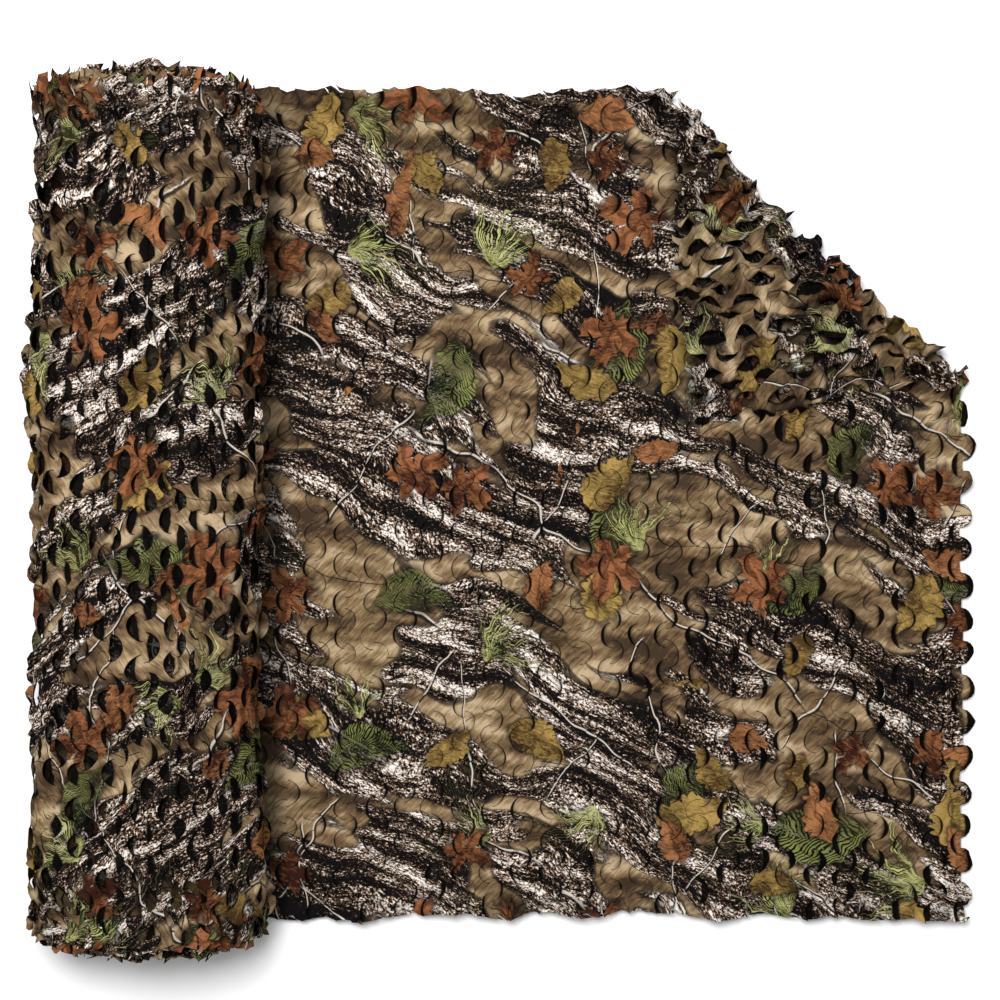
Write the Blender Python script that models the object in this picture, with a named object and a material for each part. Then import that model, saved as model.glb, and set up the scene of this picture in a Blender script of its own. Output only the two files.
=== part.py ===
"""A roll of die-cut camouflage net, with its loose end laid out and one corner folded over.

Metres, +Z up. The net lies on z = 0 and its whole box is centred over the origin. The roll lies
along Y at the -X end. The loose end runs from under it towards +X, and its +X +Y corner is turned
back onto the top. Both objects are one web of cloth, 0.4 mm apart where it leaves the roll.
"""

import math

import bpy
import numpy as np
from mathutils.geometry import delaunay_2d_cdt

# The web
CLOTH = 0.0024  # the cloth with its curled cuts
CUT_PITCH_X = 0.053
CUT_PITCH_Y = 0.0625
CUT_RADIUS = 0.0225  # of each half-round cut
LOWER_CUT = 0.25  # share of the row's pitch at which the cut that bulges towards the roll has its centre
UPPER_CUT = 0.75  # and the one that bulges towards the cut end
ROWS = 24

# The roll
ROLL_X = -0.6293
ROLL_HALF_WIDTH = 0.206
ROLL_HALF_HEIGHT = 0.112
ROLL_CENTRE_Z = 0.100  # lower than its half height, so that it has a flat spot
ROLL_HALF_LENGTH = 0.745
ROLL_SIDES = 44
ROLL_STATIONS = 37
LUMP_START_Z = 0.035  # below this the roll is smooth, so that it clears the sheet
LUMP_FULL_Z = 0.085  # above this it has its whole lumps

# The loose end, as it would lie before its corner is turned
NIP_X = ROLL_X + 0.0980  # where it comes out, 0.4 mm under the roll
END_X = 0.8266
FRONT_Y = -0.740
BACK_Y = FRONT_Y + ROWS * CUT_PITCH_Y
EDGE_WAVE = 0.005
FRONT_TAKE_IN = 0.010  # the front edge lies this much nearer the middle
FRONT_GIVE = 0.20  # and the cloth takes it up over this width
TONGUE = 0.018  # how far the half-round tongues stand out of the cut end
TONGUE_CURL = 0.011

# The turned corner: its fold runs from the back edge to the end edge
FOLD_START = (0.2635, BACK_Y)
FOLD_END = (0.8285, 0.2340)
FOLD_RADIUS = 0.0125
FOLD_STEPS = 5
FLAP_STRETCH = 1.10  # the cuts let the turned corner pull out
FLAP_REST = 0.0040  # least air between the flap and the sheet below it
FLAP_SETTLE = 0.075  # how far past the bend the flap comes down to that
# How far the fold stands out or in of its straight line: distance along it, push
FOLD_RUN = (0.0, 0.06, 0.16, 0.27, 0.34, 0.44, 0.60, 0.80)
FOLD_PUSH = (0.010, 0.012, 0.006, -0.004, -0.016, -0.009, -0.006, -0.004)
FOLD_PUSH_BELOW = 0.16  # how far under the flap the push is felt
FOLD_PUSH_ABOVE = 0.12  # and how far along it

# Each row is a soft ridge in the cloth: centre x, y, heading in degrees, half length, half width, height
SHEET_RIDGES = (
    (-0.300, 0.420, 82, 0.260, 0.060, 0.011),
    (-0.250, -0.330, 97, 0.340, 0.055, 0.009),
    (-0.020, 0.120, 72, 0.240, 0.050, 0.010),
    (0.090, -0.520, 105, 0.230, 0.060, 0.012),
    (0.110, 0.600, 66, 0.180, 0.048, 0.010),
    (0.330, -0.060, 88, 0.300, 0.052, 0.013),
    (0.420, -0.560, 80, 0.210, 0.055, 0.014),
    (0.610, -0.270, 102, 0.280, 0.055, 0.017),
    (0.690, 0.060, 60, 0.170, 0.050, 0.018),
    (0.770, -0.600, 84, 0.190, 0.045, 0.018),
    (-0.060, -0.730, 4, 0.300, 0.035, 0.009),
    (-0.110, 0.745, -3, 0.340, 0.040, 0.012),
)
RIDGE_LEVEL = 0.0030  # what is lower than this lies flat on the surface

FLAP_RIDGES = (
    (0.315, 0.520, 84, 0.200, 0.042, 0.026),
    (0.420, 0.380, 20, 0.160, 0.045, 0.018),
    (0.450, 0.560, 52, 0.170, 0.038, 0.022),
    (0.570, 0.330, -8, 0.170, 0.040, 0.020),
    (0.660, 0.300, 35, 0.120, 0.036, 0.018),
    (0.330, 0.270, 30, 0.090, 0.050, 0.018),
)

# Each row is a dent or twist in the roll's skin: y, angle in degrees, angle's change for each metre
# along the roll, half length, half width in degrees, depth
ROLL_CREASES = (
    (0.600, 95, 140, 0.150, 15, 0.013),
    (0.380, 60, -90, 0.190, 13, 0.011),
    (0.230, 125, 110, 0.170, 15, 0.014),
    (0.020, 80, 70, 0.200, 12, 0.012),
    (-0.190, 140, -120, 0.160, 14, 0.012),
    (-0.300, 55, 100, 0.170, 15, 0.013),
    (-0.480, 100, -80, 0.190, 14, 0.014),
    (-0.640, 70, 160, 0.120, 15, 0.012),
    (0.500, 170, 60, 0.200, 16, 0.010),
    (-0.050, 15, -50, 0.240, 15, 0.010),
)

# The turns that stand out of each end of the roll, one inside the other: size, how far out
END_TURNS = (
    (0.955, 0.002),
    (0.860, 0.004),
    (0.850, 0.013),
    (0.660, 0.017),
    (0.650, 0.026),
    (0.430, 0.031),
    (0.420, 0.024),
    (0.170, 0.018),
)
END_SKEW = 0.006  # the roll's upper turns slid this much further than its lower ones
END_RIPPLE = 0.005  # how far each turn's edge wavers

# The holes: one cut in two each way is open, more so towards the cut end and on the flap
HOLE_EVERY = 2
HOLE_MARGIN = 0.035  # from the web's edges
HOLE_CLEAR = 0.030  # from the fold's bend
POINT_CLEAR = 0.014
OPEN_LEAST = 0.0048
OPEN_MOST = 0.0105
OPEN_FROM_X = 0.10

NET_COLOUR = (0.130, 0.098, 0.062, 1.0)


def smooth(value, low, high):
    """0 below low, 1 above high, with a soft change between them."""
    part = np.clip((value - low) / (high - low), 0.0, 1.0)
    return part * part * (3.0 - 2.0 * part)


def ridges(x, y, rows):
    """The summed height of soft ridges at x, y."""
    height = np.zeros_like(x)
    for centre_x, centre_y, heading, half_length, half_width, high in rows:
        turn = math.radians(heading)
        along = (x - centre_x) * math.cos(turn) + (y - centre_y) * math.sin(turn)
        across = (y - centre_y) * math.cos(turn) - (x - centre_x) * math.sin(turn)
        height += high * np.exp(-((along / half_length) ** 2) - (across / half_width) ** 2)
    return height


def air_under(x, y):
    """How far the laid web stands off the surface: nothing at the roll and wherever it lies flat."""
    height = ridges(x, y, SHEET_RIDGES) - RIDGE_LEVEL
    return np.maximum(height, 0.0) * smooth(x, NIP_X + 0.06, NIP_X + 0.16)


def fold_axes():
    """The fold's start, its direction and the direction across it towards the turned corner."""
    start = np.array(FOLD_START)
    run = np.array(FOLD_END) - start
    length = np.hypot(*run)
    run = run / length
    return start, run, np.array((-run[1], run[0])), length


def fold_radius(along):
    return FOLD_RADIUS * (1.0 + 0.22 * np.sin(along * 17.0 + 0.6) + 0.10 * np.sin(along * 41.0))


def laid(flat):
    """Takes points of the flat web to the middle of the cloth as it lies, corner turned over."""
    start, run, towards, _ = fold_axes()
    rel = flat - start
    past = rel @ towards
    along = rel @ run
    over = past > 0.0
    past = np.where(over, past * FLAP_STRETCH, past)
    along = np.where(over, along + past * (1.0 - 1.0 / FLAP_STRETCH) * run[0] / towards[0], along)

    radius = fold_radius(along)
    bend = np.clip(past / radius, 0.0, math.pi)
    beyond = np.maximum(past - math.pi * radius, 0.0)
    out = np.where(over, radius * np.sin(bend) - beyond, past)
    push = np.interp(along, FOLD_RUN, FOLD_PUSH)
    out += push * smooth(past, -FOLD_PUSH_BELOW, 0.0) * np.exp(-beyond / FOLD_PUSH_ABOVE)
    place = start + along[:, None] * run + out[:, None] * towards
    taken_in = smooth(FRONT_Y - flat[:, 1], -FRONT_GIVE, 0.0) * smooth(flat[:, 0], NIP_X, NIP_X + 0.10)
    x, y = place[:, 0], place[:, 1] + FRONT_TAKE_IN * taken_in

    ground = air_under(x, y)
    lift = radius * (1.0 - np.cos(bend))
    rest = CLOTH + FLAP_REST + ridges(x, y, FLAP_RIDGES)
    settle = smooth(beyond, 0.0, FLAP_SETTLE)
    lift = np.where(beyond > 0.0, lift * (1.0 - settle) + rest * settle, lift)
    curl = TONGUE_CURL * smooth(flat[:, 0], END_X, END_X + TONGUE) * np.where(over, 0.6, 1.0)
    return np.column_stack((x, y, CLOTH / 2 + ground + lift + curl))


def web_outline():
    """The loose end's edge, anticlockwise: front, cut end with its tongues, back, and the roll's side."""
    steps_x = 2 * round((END_X - NIP_X) / CUT_PITCH_X)
    front = []
    back = []
    for step in range(steps_x):
        x = NIP_X + (END_X - NIP_X) * step / steps_x
        tooth = EDGE_WAVE * (0.5 if step % 2 else -0.5)
        sway = EDGE_WAVE * math.sin(5.0 * x + 0.8)
        calm = float(smooth(x, NIP_X, NIP_X + 0.10))
        front.append((x, FRONT_Y + calm * (tooth + sway)))
        back.append((x, BACK_Y + calm * (tooth - sway)))
    end = [(END_X, FRONT_Y)]
    for row in range(ROWS):
        centre = FRONT_Y + (row + UPPER_CUT) * CUT_PITCH_Y
        for angle in np.linspace(-90, 90, 7):
            turn = math.radians(angle)
            end.append((END_X + TONGUE * math.cos(turn), centre + CUT_RADIUS * math.sin(turn)))
    end = [point for point in end if point[1] < BACK_Y - 0.002] + [(END_X + 0.6 * TONGUE, BACK_Y)]
    side_steps = 20
    side = [(NIP_X, FRONT_Y + (BACK_Y - FRONT_Y) * step / side_steps) for step in range(1, side_steps)]
    return front + end + back[::-1] + side[::-1]


def crescent(x, y, side, opening):
    """One opened half-round cut: its arc, and its tongue's edge drawn back from it."""
    points = []
    for angle in np.linspace(90, 270, 7):
        turn = math.radians(angle)
        points.append((x + side * CUT_RADIUS * math.cos(turn), y + CUT_RADIUS * math.sin(turn)))
    for angle in np.linspace(270, 90, 5)[1:-1]:
        turn = math.radians(angle)
        points.append((x + side * (CUT_RADIUS - opening) * math.cos(turn), y + CUT_RADIUS * math.sin(turn)))
    return points if side > 0 else points[::-1]


def cut_columns():
    """Each pair of cuts at the real web's pitch: column, row, the x both hang from, the row's low y."""
    columns = int((END_X - NIP_X) / CUT_PITCH_X)
    for column in range(1, columns + 1):
        for row in range(ROWS):
            yield column, row, END_X - column * CUT_PITCH_X, FRONT_Y + row * CUT_PITCH_Y


def web_mesh():
    """The flat web as triangles, holes left out, with rows of points where the fold bends."""
    start, run, towards, length = fold_axes()
    outline = web_outline()
    points = list(outline)
    edges = []
    faces = [list(range(len(outline)))]

    bend_length = math.pi * FOLD_RADIUS
    for column, row, x, low in cut_columns():
        side = 1 if (column // HOLE_EVERY + row // HOLE_EVERY) % 2 else -1
        y = low + (LOWER_CUT if side > 0 else UPPER_CUT) * CUT_PITCH_Y
        past = (np.array((x, y)) - start) @ towards
        if not (x - NIP_X > HOLE_MARGIN and FRONT_Y + HOLE_MARGIN < y < BACK_Y - HOLE_MARGIN):
            continue
        clear = past < -HOLE_CLEAR or past > bend_length + HOLE_CLEAR
        if clear and column % HOLE_EVERY == 0 and row % HOLE_EVERY == 0:
            share = 1.0 if past > 0.0 else float(smooth(x, OPEN_FROM_X, END_X))
            hole = crescent(x, y, side, OPEN_LEAST + (OPEN_MOST - OPEN_LEAST) * share)
            faces.append(list(range(len(points), len(points) + len(hole))))
            points += hole
        elif not -POINT_CLEAR < past < bend_length + POINT_CLEAR:
            points.append((x, y))

    beyond = 0.03
    row_points = 26
    for step in range(FOLD_STEPS + 1):
        past = bend_length * step / FOLD_STEPS / FLAP_STRETCH
        first = len(points)
        for along in np.linspace(-beyond, length + beyond, row_points):
            points.append(tuple(start + along * run + past * towards))
        edges += [(first + i, first + i + 1) for i in range(row_points - 1)]

    found = delaunay_2d_cdt(points, edges, faces, 0, 1e-6)
    flat = np.array([tuple(point) for point in found[0]])
    kept = [face for face, source in zip(found[2], found[5]) if source == [0]]
    return flat, np.array(kept)


def thicken(middle, faces, thickness):
    """A closed skin round a sheet of triangles: a top, a bottom and a wall along each edge."""
    used, index = np.unique(faces, return_inverse=True)
    middle = middle[used]
    faces = index.reshape(-1, 3)
    corners = middle[faces]
    face_normals = np.cross(corners[:, 1] - corners[:, 0], corners[:, 2] - corners[:, 0])
    normals = np.zeros_like(middle)
    for corner in range(3):
        np.add.at(normals, faces[:, corner], face_normals)
    normals /= np.linalg.norm(normals, axis=1)[:, None]

    count = len(middle)
    points = np.vstack((middle + normals * thickness / 2, middle - normals * thickness / 2))
    sides = {(a, b) for face in faces for a, b in zip(face, np.roll(face, -1))}
    rim = sorted((a, b) for a, b in sides if (b, a) not in sides)
    skin = [tuple(face) for face in faces]
    skin += [tuple(face[::-1] + count) for face in faces]
    skin += [(b, a, a + count, b + count) for a, b in rim]
    return points, skin


def roll_skin(angle, y):
    """How far the roll's outermost turn stands proud of its plain oval."""
    proud = 0.0045 * np.sin(2 * angle + 6.0 * y) + 0.0035 * np.sin(3 * angle - 11.0 * y + 1.0)
    proud += 0.0025 * np.sin(angle + 23.0 * y)
    for centre_y, centre, twist, half_length, half_width, depth in ROLL_CREASES:
        middle = math.radians(centre) + math.radians(twist) * (y - centre_y)
        across = ((angle - middle + math.pi) % (2 * math.pi) - math.pi) / math.radians(half_width)
        proud -= depth * np.exp(-((y - centre_y) / half_length) ** 2 - across**2)
    return proud


def roll_section(y, size, out):
    """One ring of the roll at y, drawn in to a share of its size, then pushed out along the roll."""
    angle = np.arange(ROLL_SIDES) * 2 * math.pi / ROLL_SIDES
    x = ROLL_HALF_WIDTH * np.cos(angle)
    z = ROLL_HALF_HEIGHT * np.sin(angle)
    free = smooth(z + ROLL_CENTRE_Z, LUMP_START_Z, LUMP_FULL_Z)
    swell = 1.0 + free * roll_skin(angle, y) / np.hypot(x, z)
    x = ROLL_X + x * swell * size
    z = np.maximum(ROLL_CENTRE_Z + z * swell * size, 0.0)
    way = math.copysign(1.0, y)
    lean = END_SKEW * np.sin(angle) * (1.0 - size) + END_RIPPLE * np.sin(2 * angle + 3 * way) * (size < 1.0)
    return np.column_stack((x, np.full_like(x, y + way * out) + way * lean, z))


def roll_mesh():
    """The wound form: a slumped oval with its turns stepping out at both ends."""
    stations = np.linspace(-ROLL_HALF_LENGTH, ROLL_HALF_LENGTH, ROLL_STATIONS)
    rings = [roll_section(-ROLL_HALF_LENGTH, size, out) for size, out in END_TURNS[::-1]]
    rings += [roll_section(y, 1.0, 0.0) for y in stations]
    rings += [roll_section(ROLL_HALF_LENGTH, size, out) for size, out in END_TURNS]
    points = np.vstack(rings + [rings[0].mean(axis=0), rings[-1].mean(axis=0)])
    skin = []
    for ring in range(len(rings) - 1):
        for side in range(ROLL_SIDES):
            low = ring * ROLL_SIDES
            after = (side + 1) % ROLL_SIDES
            skin.append((low + side, low + side + ROLL_SIDES, low + after + ROLL_SIDES, low + after))
    first_centre = len(points) - 2
    last = (len(rings) - 1) * ROLL_SIDES
    for side in range(ROLL_SIDES):
        after = (side + 1) % ROLL_SIDES
        skin.append((side, after, first_centre))
        skin.append((last + after, last + side, first_centre + 1))
    return points, skin


def net_material():
    material = bpy.data.materials.new("printed_cloth")
    material.use_nodes = True
    surface = material.node_tree.nodes["Principled BSDF"]
    surface.inputs["Base Color"].default_value = NET_COLOUR
    surface.inputs["Roughness"].default_value = 0.78
    surface.inputs["Metallic"].default_value = 0.0
    material.diffuse_color = NET_COLOUR
    return material


def make_object(name, points, skin, material):
    mesh = bpy.data.meshes.new(name)
    mesh.from_pydata(points.tolist(), [], [tuple(int(i) for i in face) for face in skin])
    mesh.validate()
    mesh.materials.append(material)
    mesh.shade_smooth()
    mesh.set_sharp_from_angle(angle=math.radians(50))
    made = bpy.data.objects.new(name, mesh)
    bpy.context.scene.collection.objects.link(made)
    return made


def main():
    for old in list(bpy.data.objects):
        bpy.data.objects.remove(old, do_unlink=True)
    material = net_material()
    flat, faces = web_mesh()
    points, skin = thicken(laid(flat), faces, CLOTH)
    make_object("net_sheet", points, skin, material)
    points, skin = roll_mesh()
    make_object("net_roll", points, skin, material)


main()
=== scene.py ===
"""The looks of a roll of die-cut camouflage net, its loose end laid out and one corner turned over.

The web is one sheet of printed cloth with rows of half-round cuts. It is drawn flat first, cell by
cell, and then taken onto the surface in which it lies: the loose end, and the spiral of the roll.
Every point keeps its place on the flat web as its UV, in metres, so that the print and the painted
shade in the cuts follow the cloth through the fold and round the roll. Metres, +Z up.
"""

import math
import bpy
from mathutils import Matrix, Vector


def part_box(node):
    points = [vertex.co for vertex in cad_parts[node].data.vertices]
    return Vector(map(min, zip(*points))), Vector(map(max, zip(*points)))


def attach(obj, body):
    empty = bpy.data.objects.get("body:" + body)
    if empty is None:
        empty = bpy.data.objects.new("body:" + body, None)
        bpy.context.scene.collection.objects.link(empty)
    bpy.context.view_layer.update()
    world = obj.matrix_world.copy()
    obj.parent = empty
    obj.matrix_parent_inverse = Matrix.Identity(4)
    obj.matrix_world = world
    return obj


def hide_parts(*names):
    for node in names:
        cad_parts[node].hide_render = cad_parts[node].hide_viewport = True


bl_info = {
    "name": "Camouflage Net Roll",
    "version": (1, 0, 0),
    "blender": (4, 5, 0),
    "location": "3D View > Sidebar > Net",
    "description": "Makes a roll of die-cut camouflage net with its loose end laid out",
    "category": "Add Mesh",
}

import bpy
import numpy as np
from bpy.props import FloatProperty, FloatVectorProperty, IntProperty, PointerProperty
from mathutils.geometry import delaunay_2d_cdt

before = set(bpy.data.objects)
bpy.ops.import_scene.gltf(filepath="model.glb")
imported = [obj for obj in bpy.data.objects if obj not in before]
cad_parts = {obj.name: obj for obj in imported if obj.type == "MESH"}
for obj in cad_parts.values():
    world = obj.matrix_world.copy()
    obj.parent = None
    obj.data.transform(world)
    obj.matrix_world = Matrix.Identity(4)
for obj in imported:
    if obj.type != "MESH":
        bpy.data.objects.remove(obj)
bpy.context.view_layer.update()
SHEET_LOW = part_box("net_sheet")[0]
ROLL_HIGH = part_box("net_roll")[1]

# The web, as in the solids
CUT_PITCH_X = 0.053
CUT_PITCH_Y = 0.0625
CUT_RADIUS = 0.0225
LOWER_CUT = 0.25  # the place in its row of a cut that bulges to -X
UPPER_CUT = 0.75  # and of one that bulges to +X
ROWS = 24
LOOSE_LENGTH = 1.3579
NIP_X = SHEET_LOW.x
END_X = NIP_X + LOOSE_LENGTH
FRONT_Y = -0.740
BACK_Y = FRONT_Y + ROWS * CUT_PITCH_Y
MIDDLE_Y = (FRONT_Y + BACK_Y) / 2
WIDTH = BACK_Y - FRONT_Y
EDGE_WAVE = 0.005  # how far the long edges sway
EDGE_REACH = 0.20  # how far from a long edge that is felt
FRONT_TAKE_IN = 0.010  # how far the near long edge is drawn in

# The turned corner, as in the solids
FOLD_START = (0.2635, BACK_Y)
FOLD_END = (0.8285, 0.2340)
FOLD_RADIUS = 0.0125
FLAP_STRETCH = 1.10
FLAP_AIR = 0.0064  # the gap between the turned corner and the cloth under it
FLAP_SETTLE = 0.075  # how far past the fold the turned corner comes to rest
PUSH_FADE = 0.12  # how far past the fold its uneven edge is felt

# How far the fold's edge stands out or in of its straight line: distance along it, push
FOLD_RUN = (0.0, 0.06, 0.16, 0.27, 0.34, 0.44, 0.60, 0.80)
FOLD_PUSH = (0.010, 0.012, 0.006, -0.004, -0.016, -0.009, -0.006, -0.004)

# The roll, as in the solids
ROLL_X = NIP_X - 0.0980
ROLL_HALF_WIDTH = 0.206
ROLL_HALF_HEIGHT = 0.112
ROLL_CENTRE_Z = 0.100
LUMP_START_Z = 0.035

# How the web is shared out, in columns of cuts counted from the cut end
LOOSE_COLUMNS = 26
OUTER_COLUMNS = 21
INNER_COLUMNS = 136
INNER_ROWS = 2
JOIN_X = END_X - LOOSE_COLUMNS * CUT_PITCH_X
OUTER_STEP = 0.007  # how much smaller the roll is after its outer turn
INNER_STEP = 0.0125  # and after each of the turns that show at its ends
ASKEW = 0.009  # how far the inner turns are out of line with the outer one
MOST_TURNS = 18.0
LEAST_SIZE = 0.06  # the innermost turn's share of the roll's size

SLIT = 0.0007  # the width of a closed cut
WELD = 0.00005  # how near the points of two cells are made one
ARC_STEPS = 8  # edges along a half-round
LEAST_Z = 0.0007  # the lowest place of the cloth's middle
FLAT_Z = 0.0014  # and where it lies when it is pulled flat
LOOSE_Z = 0.0070  # how much higher the loosest cloth lies
PULL_REACH = 0.011  # how far from a line of cuts a pull is felt
LIP_REACH = 0.0075  # how far from a cut its lip is felt
LIP_INWARD = 0.0017  # how far a lip hangs over its cut
LEAST_SHADE = 0.0028  # the narrowest painted shade inside a cut
ABOVE_ROLL = 0.012  # how far the cloth may stand above the roll's solid

# The points inside a cell: share of a cut's radius from its centre, angles in degrees
CELL_POINTS = ((0.36, (-45, 0, 45)), (0.70, (-58, -29, 0, 29, 58)), (1.26, (-50, -18, 18, 50)))
CELL_MARGIN = 0.0022  # how far they keep from the cell's rim
CELL_RIM = (0.16, 0.5, 0.84)  # the points along a cell's ends, as shares of its length

# A soft ridge in the cloth: centre x, y, heading in degrees, half length, half width, height
SHEET_RIDGES = (
    (-0.300, 0.420, 82, 0.260, 0.060, 0.011),
    (-0.250, -0.330, 97, 0.340, 0.055, 0.009),
    (-0.020, 0.120, 72, 0.240, 0.050, 0.010),
    (0.090, -0.520, 105, 0.230, 0.060, 0.012),
    (0.110, 0.600, 66, 0.180, 0.048, 0.010),
    (0.330, -0.060, 88, 0.300, 0.052, 0.013),
    (0.420, -0.560, 80, 0.210, 0.055, 0.014),
    (0.610, -0.270, 102, 0.280, 0.055, 0.017),
    (0.690, 0.060, 60, 0.170, 0.050, 0.018),
    (0.770, -0.600, 84, 0.190, 0.045, 0.018),
    (-0.060, -0.730, 4, 0.300, 0.035, 0.009),
    (-0.110, 0.745, -3, 0.340, 0.040, 0.012),
)
RIDGE_LEVEL = 0.0030  # how much of the ridges' height lies flat

FLAP_RIDGES = (
    (0.315, 0.520, 84, 0.200, 0.042, 0.026),
    (0.420, 0.380, 20, 0.160, 0.045, 0.018),
    (0.450, 0.560, 52, 0.170, 0.038, 0.022),
    (0.570, 0.330, -8, 0.170, 0.040, 0.020),
    (0.660, 0.300, 35, 0.120, 0.036, 0.018),
    (0.330, 0.270, 30, 0.090, 0.050, 0.018),
)

# A dent in the roll's skin: y, angle in degrees, the angle's change for each metre along the roll,
# half length, half width in degrees, depth
ROLL_CREASES = (
    (0.600, 95, 140, 0.150, 15, 0.013),
    (0.380, 60, -90, 0.190, 13, 0.011),
    (0.230, 125, 110, 0.170, 15, 0.014),
    (0.020, 80, 70, 0.200, 12, 0.012),
    (-0.190, 140, -120, 0.160, 14, 0.012),
    (-0.300, 55, 100, 0.170, 15, 0.013),
    (-0.480, 100, -80, 0.190, 14, 0.014),
    (-0.640, 70, 160, 0.120, 15, 0.012),
    (0.500, 170, 60, 0.200, 16, 0.010),
    (-0.050, 15, -50, 0.240, 15, 0.010),
)

# How far the turns stand out of the roll's ends: share of the roll's size, distance
END_SIZES = (0.17, 0.42, 0.43, 0.65, 0.85, 0.955, 1.0)
END_REACH = (0.016, 0.023, 0.029, 0.022, 0.010, 0.000, 0.0)

# Small uneven waves all over the cloth: radians for each metre along u and v, phase, height
CRINKLES = (
    (31.0, 12.0, 0.3, 0.0011),
    (-17.0, 37.0, 1.9, 0.0009),
    (52.0, -29.0, 4.1, 0.0007),
    (11.0, 63.0, 2.6, 0.0006),
    (-71.0, -24.0, 5.2, 0.0005),
)

# Sharp little creases in crumpled cloth: radians for each metre along u and v, phase, share
CREASES = (
    (59.0, 36.0, 0.4, 0.26),
    (-48.0, 56.0, 2.2, 0.24),
    (76.0, -32.0, 4.0, 0.18),
    (19.0, 84.0, 1.1, 0.16),
    (-87.0, -49.0, 5.3, 0.09),
    (42.0, -90.0, 3.4, 0.07),
)

# How the rows of cuts wander: radians for each metre along u and v, phase, shifts along u and v
WANDERS = (
    (21.0, 13.0, 0.7, 0.0024, 0.0011),
    (-34.0, 27.0, 2.1, 0.0016, -0.0015),
    (17.0, -25.0, 4.2, -0.0010, 0.0024),
    (49.0, 38.0, 1.2, 0.0012, 0.0014),
    (-28.0, -61.0, 5.0, 0.0011, -0.0010),
)

# How ragged a long edge is: radians for each metre along it, phase, shift, lift
EDGE_TEETH = (
    (118.0, 0.5, 0.0026, 0.0010),
    (47.0, 2.0, 0.0022, 0.0030),
    (201.0, 1.0, 0.0018, 0.0008),
    (29.0, 4.0, 0.0014, 0.0035),
)

# The wound body inside the outer turn
BODY_SIDES = 72
BODY_STATIONS = 61
BODY_HALF_LENGTH = 0.640
BODY_SIZE = 0.905  # its share of the roll's size
BODY_WIDENED = 1.035
BODY_ENDS = (0.25, 0.6, 0.9)  # the rings that close its ends, as shares of its size
BODY_PLACE = -3.0  # where on the web its print starts
BODY_RADIUS = 0.16  # metres of print for each radian round it


# ---------------------------------------------------------------- settings


class NetSizes(bpy.types.PropertyGroup):
    """Sizes of the cloth, of its opened cuts and of the painted shade inside them"""

    thickness: FloatProperty(
        name="Cloth", description="Thickness of the cloth", default=0.0007, unit="LENGTH"
    )
    lip: FloatProperty(
        name="Lip", description="Most that the cloth rises beside a cut", default=0.0095, unit="LENGTH"
    )
    curl: FloatProperty(
        name="Curl", description="Most that a tongue bends up", default=2.2, subtype="ANGLE"
    )
    sink: FloatProperty(
        name="Sink", description="Most that a tongue bends down", default=0.60, subtype="ANGLE"
    )
    painted_shade_width: FloatProperty(
        name="Painted Shade Width", description="Widest shade inside a cut", default=0.0150, unit="LENGTH"
    )
    seed: IntProperty(name="Seed", description="Picks the uneven lie of the tongues", default=7)


class NetColours(bpy.types.PropertyGroup):
    """Colours of the print"""

    tan: FloatVectorProperty(
        name="Tan", description="Ground", subtype="COLOR", default=(0.226, 0.151, 0.079)
    )
    tan_dark: FloatVectorProperty(
        name="Dark tan", description="Streaks", subtype="COLOR", default=(0.046, 0.028, 0.016)
    )
    black: FloatVectorProperty(
        name="Black", description="Bark cracks", subtype="COLOR", default=(0.0036, 0.0030, 0.0030)
    )
    brown: FloatVectorProperty(
        name="Brown", description="Bark", subtype="COLOR", default=(0.068, 0.036, 0.021)
    )
    bone: FloatVectorProperty(
        name="Bone", description="Pale bark", subtype="COLOR", default=(0.78, 0.735, 0.685)
    )
    rust: FloatVectorProperty(
        name="Rust", description="Lobed leaves", subtype="COLOR", default=(0.148, 0.056, 0.022)
    )
    gold: FloatVectorProperty(
        name="Gold", description="Oval leaves", subtype="COLOR", default=(0.190, 0.122, 0.036)
    )
    green: FloatVectorProperty(
        name="Green", description="Fronds", subtype="COLOR", default=(0.165, 0.185, 0.050)
    )
    twig: FloatVectorProperty(
        name="Twig", description="Twigs", subtype="COLOR", default=(0.52, 0.46, 0.40)
    )


class StageSettings(bpy.types.PropertyGroup):
    """The camera, floor and light"""

    camera_height: FloatProperty(
        name="Camera", description="Height above the floor", default=4.2, unit="LENGTH"
    )
    frame_width: FloatProperty(
        name="Frame", description="Width seen on the floor", default=1.812, unit="LENGTH"
    )
    centre_x: FloatProperty(name="X", description="Middle of the frame", default=-0.0075, unit="LENGTH")
    centre_y: FloatProperty(name="Y", description="Middle of the frame", default=0.0217, unit="LENGTH")
    key: FloatProperty(name="Key", description="Power of the main light", default=470.0, unit="POWER")
    sky: FloatProperty(name="Sky", description="Strength of the light all round", default=0.42)


# ---------------------------------------------------------------- the web drawn flat


def smooth(value, low, high):
    """0 below low, 1 above high, with a soft change between them."""
    part = np.clip((value - low) / (high - low), 0.0, 1.0)
    return part * part * (3.0 - 2.0 * part)


def chance(column, row, side, salt):
    """A fixed even random number from 0 to 1 for each cut."""
    seed = bpy.context.scene.net_sizes.seed
    mixed = np.sin(column * 127.1 + row * 311.7 + side * 74.7 + salt * 39.3 + seed * 17.17) * 43758.5453
    return mixed - np.floor(mixed)


def half_round(centre_x, centre_y, side, reach):
    """Points of a half-round from its upper tip to its lower tip. side is 1 where it bulges to +X."""
    angles = np.linspace(math.pi / 2, -math.pi / 2, ARC_STEPS + 1)
    return [(centre_x + side * reach * math.cos(a), centre_y + CUT_RADIUS * math.sin(a)) for a in angles]


def slit_outline(centre_x, centre_y, side):
    """One half-round cut as a thin crescent, anticlockwise."""
    outer = half_round(centre_x, centre_y, side, CUT_RADIUS)
    inner = half_round(centre_x, centre_y, side, CUT_RADIUS - SLIT)[1:-1][::-1]
    loop = outer + inner
    return loop[::-1] if side > 0 else loop


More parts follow.
